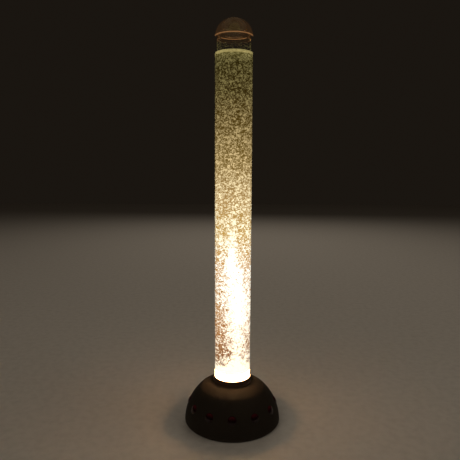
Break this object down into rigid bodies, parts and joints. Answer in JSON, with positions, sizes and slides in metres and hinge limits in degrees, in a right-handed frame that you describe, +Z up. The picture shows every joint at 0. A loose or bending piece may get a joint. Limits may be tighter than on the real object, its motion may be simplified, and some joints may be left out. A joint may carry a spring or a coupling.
{
  "type": "bubble tube lamp",
  "caption": "Tall clear tube of bubbling water under a lift-off dome cap, standing on a dark domed base set with a ring of red jewels, with a lamp and an air pump inside.",
  "frame": {"origin": "centre of the lamp's underside, at the height of the feet's lower faces", "axes": "+Z up along the tube, -Y is the front that the picture shows, +Y is the back with the inlet and the switch"},
  "size_m": [0.217, 0.2173, 0.8849],
  "materials": {
    "clear_acrylic": "clear polished acrylic",
    "water": "undyed water, milky with fine air bubbles, lit warm white from below",
    "dark_shell_plastic": "satin charcoal-black moulded plastic",
    "black_plastic": "satin black moulded plastic",
    "rocker_plastic": "glossy black moulded plastic",
    "red_jewel": "polished translucent red acrylic",
    "black_rubber": "matt black rubber",
    "clear_silicone": "milky clear silicone",
    "brass": "turned brass",
    "zinc_plated_steel": "bright zinc-plated steel",
    "mirrored_glass": "faceted mirrored glass reflector",
    "quartz_glass": "clear quartz capsule",
    "white_ceramic": "unglazed white steatite",
    "aluminium_sheet": "plain aluminium",
    "grey_plastic": "grey moulded plastic",
    "ferrite_magnet": "sintered ferrite",
    "enamelled_copper": "enamelled copper winding",
    "red_wire": "red insulated wire",
    "black_wire": "black insulated wire"
  },
  "bodies": {
    "base": {"tube": "clear_acrylic", "tube_floor": "clear_acrylic", "water_column": "water", "tube_gasket": "black_rubber", "tube_collar": "black_plastic", "base_shell": "dark_shell_plastic", "jewel_01": "red_jewel", "jewel_02": "red_jewel", "jewel_03": "red_jewel", "jewel_04": "red_jewel", "jewel_05": "red_jewel", "jewel_06": "red_jewel", "jewel_07": "red_jewel", "jewel_08": "red_jewel", "jewel_09": "red_jewel", "jewel_10": "red_jewel", "jewel_11": "red_jewel", "jewel_12": "red_jewel", "base_plate": "black_plastic", "foot_1": "black_rubber", "foot_2": "black_rubber", "foot_3": "black_rubber", "foot_4": "black_rubber", "base_screw_1": "zinc_plated_steel", "base_screw_2": "zinc_plated_steel", "base_screw_3": "zinc_plated_steel", "base_screw_4": "zinc_plated_steel", "lamp_reflector": "mirrored_glass", "lamp_capsule": "quartz_glass", "lamp_holder": "white_ceramic", "lamp_bracket": "zinc_plated_steel", "bracket_screw_1": "zinc_plated_steel", "bracket_screw_2": "zinc_plated_steel", "lamp_shroud": "aluminium_sheet", "air_nozzle": "brass", "upper_hose": "clear_silicone", "check_valve": "grey_plastic", "lower_hose": "clear_silicone", "pump_pad": "black_rubber", "pump_case": "grey_plastic", "pump_cover": "grey_plastic", "pump_core": "zinc_plated_steel", "pump_coil": "enamelled_copper", "pump_pivot": "zinc_plated_steel", "pump_diaphragm": "black_rubber", "pump_valve_block": "grey_plastic", "power_inlet": "black_plastic", "inlet_nut": "zinc_plated_steel", "switch_body": "black_plastic", "lamp_wire_live": "red_wire", "lamp_wire_return": "black_wire", "pump_wire_live": "red_wire", "pump_wire_return": "black_wire"},
    "cap": {"dome_cap": "clear_acrylic"},
    "rocker": {"switch_rocker": "rocker_plastic"},
    "swing_arm": {"pump_arm": "aluminium_sheet", "pump_magnet": "ferrite_magnet"}
  },
  "joints": [
    {"name": "cap_lift", "type": "slide", "parent": "base", "child": "cap", "axis": [0, 0, 1], "range_m": [0, 0.06]},
    {"name": "switch_rock", "type": "hinge", "parent": "base", "child": "rocker", "pos_m": [0.02783, 0.10385, 0.0181], "axis": [-0.0449, -0.1676, 0.9848], "range_deg": [0, 16]},
    {"name": "arm_swing", "type": "hinge", "parent": "base", "child": "swing_arm", "pos_m": [-0.07173, 0.01615, 0.0249], "axis": [0, 0, 1], "range_deg": [-1.5, 1.5], "stiffness_Nm_per_rad": 0.05, "deforming": ["pump_diaphragm"]}
  ]
}
